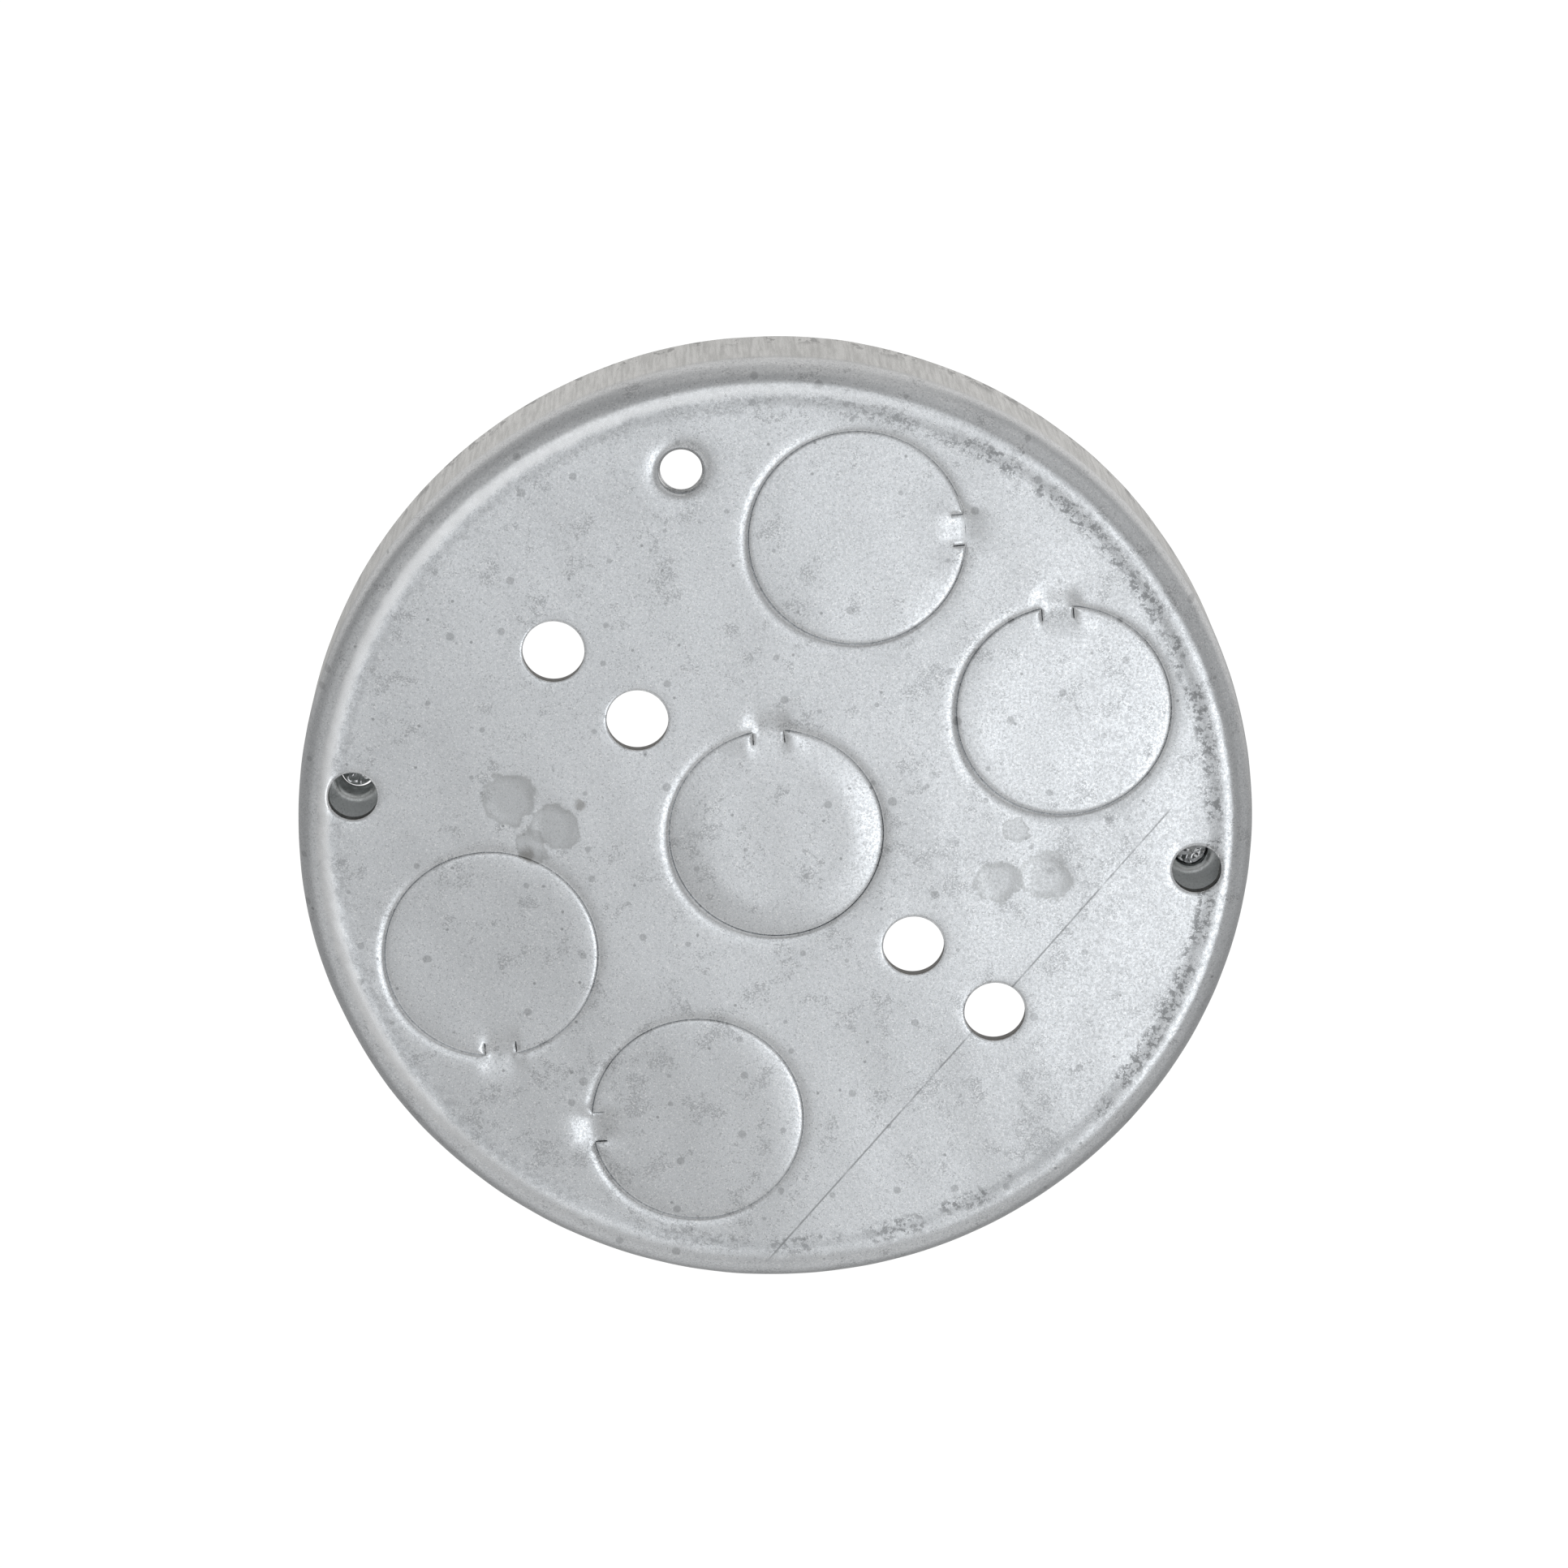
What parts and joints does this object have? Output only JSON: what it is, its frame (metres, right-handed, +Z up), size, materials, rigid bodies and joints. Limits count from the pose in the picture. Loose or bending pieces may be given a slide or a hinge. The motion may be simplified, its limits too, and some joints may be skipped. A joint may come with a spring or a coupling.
{
  "type": "ceiling pan box",
  "caption": "Round shallow galvanised-steel ceiling pan box with pry-out knockouts, screw holes, a ground-screw hole and two tapped ears with cover screws.",
  "frame": {"origin": "centre of the base's outer face, which is the mounting face", "axes": "-Y out of the mounting face, +Y towards the open mouth, +Z up, and +X from the left ear to the right ear"},
  "size_m": [0.1006, 0.0225, 0.1006],
  "materials": {
    "galvanised_sheet": "dull galvanised sheet, finely mottled",
    "galvanised_slug": "dull galvanised sheet, finely mottled",
    "ear_strap": "dull grey galvanised strip",
    "zinc_plated_screw": "bright zinc plating"
  },
  "bodies": {
    "pan_and_ears": {"pan": "galvanised_sheet", "ear_bracket_right": "ear_strap", "ear_bracket_left": "ear_strap"},
    "knockout_centre": {"knockout_centre": "galvanised_slug"},
    "knockout_top": {"knockout_top": "galvanised_slug"},
    "knockout_right": {"knockout_right": "galvanised_slug"},
    "knockout_left": {"knockout_left": "galvanised_slug"},
    "knockout_bottom": {"knockout_bottom": "galvanised_slug"},
    "cover_screw_right": {"cover_screw_right": "zinc_plated_screw"},
    "cover_screw_left": {"cover_screw_left": "zinc_plated_screw"}
  },
  "joints": [
    {"name": "knockout_centre_bend", "type": "hinge", "parent": "pan_and_ears", "child": "knockout_centre", "pos_m": [-0.00193, 0.0016, 0.01103], "axis": [0.9851, 0, 0.1719], "range_deg": [0, 70]},
    {"name": "knockout_top_bend", "type": "hinge", "parent": "pan_and_ears", "child": "knockout_top", "pos_m": [0.01633, 0.0016, 0.03424], "axis": [0.1719, 0, -0.9851], "range_deg": [0, 70]},
    {"name": "knockout_right_bend", "type": "hinge", "parent": "pan_and_ears", "child": "knockout_right", "pos_m": [0.02669, 0.0016, 0.02696], "axis": [0.9851, 0, 0.1719], "range_deg": [0, 70]},
    {"name": "knockout_left_bend", "type": "hinge", "parent": "pan_and_ears", "child": "knockout_left", "pos_m": [-0.02669, 0.0016, -0.02696], "axis": [-0.9851, 0, -0.1719], "range_deg": [0, 70]},
    {"name": "knockout_bottom_bend", "type": "hinge", "parent": "pan_and_ears", "child": "knockout_bottom", "pos_m": [-0.01633, 0.0016, -0.03424], "axis": [-0.1719, 0, 0.9851], "range_deg": [0, 70]},
    {"name": "cover_screw_right_travel", "type": "slide", "parent": "pan_and_ears", "child": "cover_screw_right", "axis": [0, 1, 0], "range_m": [-0.0048, 0.0044]},
    {"name": "cover_screw_left_travel", "type": "slide", "parent": "pan_and_ears", "child": "cover_screw_left", "axis": [0, 1, 0], "range_m": [-0.0074, 0.0018]}
  ]
}
